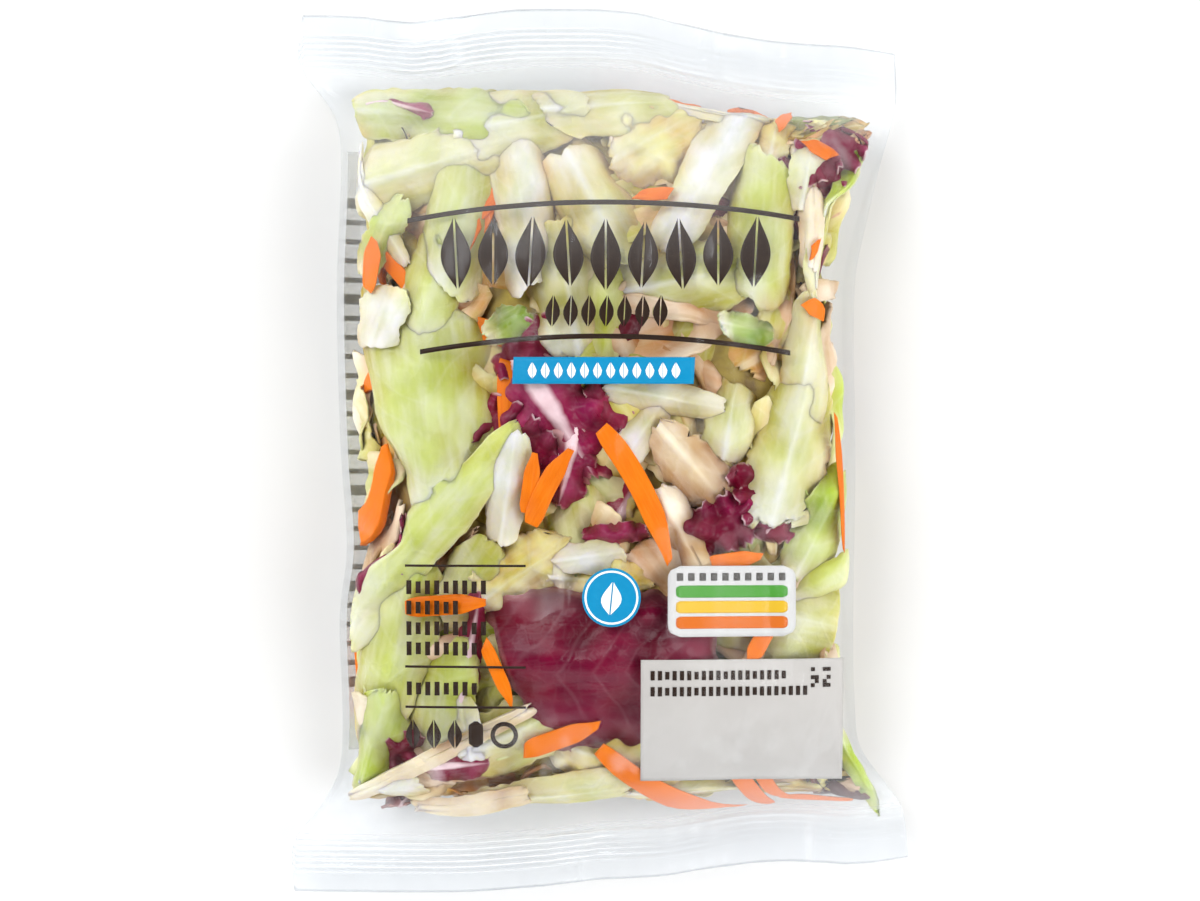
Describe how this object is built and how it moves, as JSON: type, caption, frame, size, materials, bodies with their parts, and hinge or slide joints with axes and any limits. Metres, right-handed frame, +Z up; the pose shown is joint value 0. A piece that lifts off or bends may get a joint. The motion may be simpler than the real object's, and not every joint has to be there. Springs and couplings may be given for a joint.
{
  "type": "bag of salad leaves",
  "caption": "Clear pillow bag of cut salad leaves lying on its back, with a crimped seal at each end and a lap seal underneath.",
  "frame": {"origin": "on the table under the middle of the bag's outline box", "axes": "+X across the bag, to the right as its front is read; +Y towards the top seal; +Z up out of the front face"},
  "size_m": [0.1548, 0.222, 0.0533],
  "materials": {
    "filled_bag": "glossy film over pale green leaves",
    "film": "thin clear glossy film",
    "lettuce": "moist pale green leaf",
    "cabbage": "moist cream white shreds",
    "carrot": "moist orange sticks",
    "red_leaf": "moist purple red leaf with white ribs",
    "ink": "flat printed ink"
  },
  "bodies": {
    "root": {"bag": "filled_bag"}
  },
  "joints": []
}
